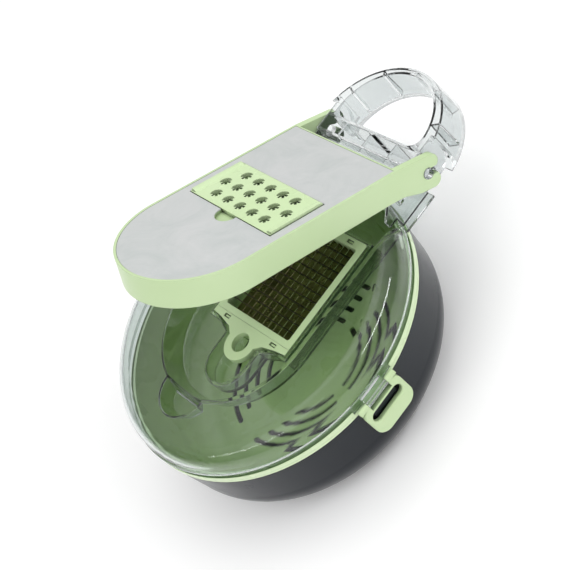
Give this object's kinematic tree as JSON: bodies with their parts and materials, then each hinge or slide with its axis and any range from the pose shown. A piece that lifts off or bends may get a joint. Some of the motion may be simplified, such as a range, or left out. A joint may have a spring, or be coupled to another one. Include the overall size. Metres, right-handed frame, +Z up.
{
  "type": "round lever vegetable chopper",
  "caption": "Round food chopper: dark bowl, drain basket, clear latched lid with a blade grid in its well, and a hinged pressing lever with a grater face and a loop handle.",
  "frame": {"origin": "centre of the foot pad, on the table", "axes": "+Z up, +Y towards the loop handle"},
  "size_m": [0.2458, 0.3233, 0.1943],
  "materials": {
    "bowl": "glossy charcoal",
    "foot": "matt non-slip",
    "basket": "light green",
    "lid": "clear",
    "handle": "clear",
    "latch": "light green",
    "lever": "light leaf green",
    "plate": "satin, faintly mottled",
    "insert": "pale green",
    "press": "light leaf green",
    "comb": "pale green",
    "frame": "pale green",
    "blade": "polished strip"
  },
  "bodies": {
    "bowl": {"outer_bowl": "bowl", "foot_pad": "foot"},
    "basket": {"drain_basket": "basket"},
    "lid": {"lid_shell": "lid", "rear_handle": "handle"},
    "latch_right": {"latch_right": "latch"},
    "latch_left": {"latch_left": "latch"},
    "lever": {"lever_body": "lever", "face_plate": "plate"},
    "insert": {"grater_insert": "insert"},
    "press": {"press_grid": "press"},
    "comb": {"cleaning_comb": "comb"},
    "cassette": {"blade_frame_upper": "frame", "blade_frame_middle": "frame", "blade_frame_lower": "frame", "lengthwise_blades": "blade", "crosswise_blades": "blade"}
  },
  "joints": [
    {"name": "lid_lift", "type": "slide", "parent": "bowl", "child": "lid", "axis": [0, 0, 1], "range_m": [0, 0.15]},
    {"name": "basket_lift", "type": "slide", "parent": "bowl", "child": "basket", "axis": [0, 0, 1], "range_m": [0, 0.075]},
    {"name": "lever_hinge", "type": "hinge", "parent": "lid", "child": "lever", "pos_m": [0, 0.1413, 0.0867], "axis": [-1, 0, 0], "range_deg": [-27.4, 70]},
    {"name": "latch_right_hinge", "type": "hinge", "parent": "lid", "child": "latch_right", "pos_m": [0.1206, 0, 0.0684], "axis": [0, -1, 0], "range_deg": [0, 100]},
    {"name": "latch_left_hinge", "type": "hinge", "parent": "lid", "child": "latch_left", "pos_m": [-0.1206, 0, 0.0684], "axis": [0, 1, 0], "range_deg": [0, 100]},
    {"name": "cassette_lift", "type": "slide", "parent": "lid", "child": "cassette", "axis": [0, 0, 1], "range_m": [0, 0.022]},
    {"name": "insert_lift", "type": "slide", "parent": "lever", "child": "insert", "axis": [0, 0.4602, 0.8878], "range_m": [0, 0.02]},
    {"name": "press_release", "type": "slide", "parent": "lever", "child": "press", "axis": [0, -0.4602, -0.8878], "range_m": [0, 0.012]},
    {"name": "comb_slide", "type": "slide", "parent": "press", "child": "comb", "axis": [0, -0.4602, -0.8878], "range_m": [0, 0.008]}
  ],
  "couplings": [
    {"joint": "basket_lift", "follows": "lid_lift", "ratio": 0.5}
  ]
}
